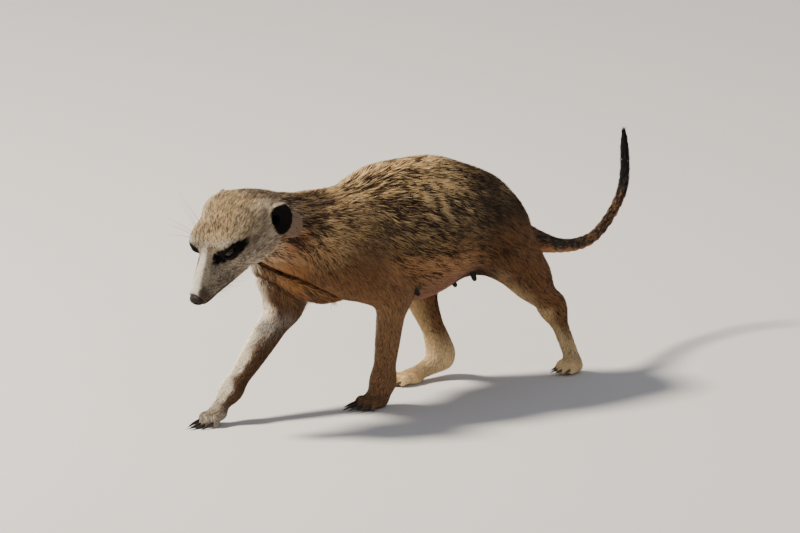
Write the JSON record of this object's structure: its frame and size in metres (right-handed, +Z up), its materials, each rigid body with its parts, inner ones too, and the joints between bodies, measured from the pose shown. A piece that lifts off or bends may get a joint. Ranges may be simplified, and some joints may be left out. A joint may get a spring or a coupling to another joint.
{
  "type": "meerkat model",
  "caption": "Life-size still model of a meerkat walking with its head low, its tail curled up behind it and its feet on the ground.",
  "frame": {"origin": "centre of the bounding box, at the level the feet stand on", "axes": "+Z up, the animal faces -Y and its left side is towards +X"},
  "size_m": [0.0932, 0.3754, 0.1343],
  "materials": {
    "coat_back": "dull brindled fur",
    "coat_neck": "dull fur",
    "coat_head": "dull short fur",
    "coat_jaw": "dull short fur",
    "coat_foreleg": "dull short fur",
    "coat_foot_fore": "dull very short fur",
    "coat_shank": "dull short fur",
    "coat_foot_hind": "dull very short fur",
    "coat_tail": "dull short fur",
    "coat_tail_tip": "dull short fur",
    "ear": "bare dark skin, dull",
    "nose": "bare moist skin, satin",
    "eye": "wet, glossy",
    "claw_fore": "horn, satin",
    "claw_hind": "horn, satin"
  },
  "bodies": {
    "root": {"abdomen": "coat_back", "claw_fore_paw_left_1": "claw_fore", "claw_fore_paw_left_2": "claw_fore", "claw_fore_paw_left_3": "claw_fore", "claw_fore_paw_left_4": "claw_fore", "claw_fore_paw_right_1": "claw_fore", "claw_fore_paw_right_2": "claw_fore", "claw_fore_paw_right_3": "claw_fore", "claw_fore_paw_right_4": "claw_fore", "claw_hind_foot_left_1": "claw_hind", "claw_hind_foot_left_2": "claw_hind", "claw_hind_foot_left_3": "claw_hind", "claw_hind_foot_left_4": "claw_hind", "claw_hind_foot_right_1": "claw_hind", "claw_hind_foot_right_2": "claw_hind", "claw_hind_foot_right_3": "claw_hind", "claw_hind_foot_right_4": "claw_hind", "ear_left": "ear", "ear_right": "ear", "eye_left": "eye", "eye_right": "eye", "fore_paw_left": "coat_foot_fore", "fore_paw_right": "coat_foot_fore", "forearm_left": "coat_foreleg", "forearm_right": "coat_foreleg", "head": "coat_head", "hind_foot_left": "coat_foot_hind", "hind_foot_right": "coat_foot_hind", "lower_jaw": "coat_jaw", "neck": "coat_neck", "nose": "nose", "pelvis": "coat_back", "shank_left": "coat_shank", "shank_right": "coat_shank", "tail_1": "coat_tail", "tail_2": "coat_tail", "tail_3": "coat_tail_tip", "tail_4": "coat_tail_tip", "thigh_left": "coat_back", "thigh_right": "coat_back", "thorax": "coat_back", "upper_foreleg_left": "coat_foreleg", "upper_foreleg_right": "coat_foreleg"}
  },
  "joints": []
}
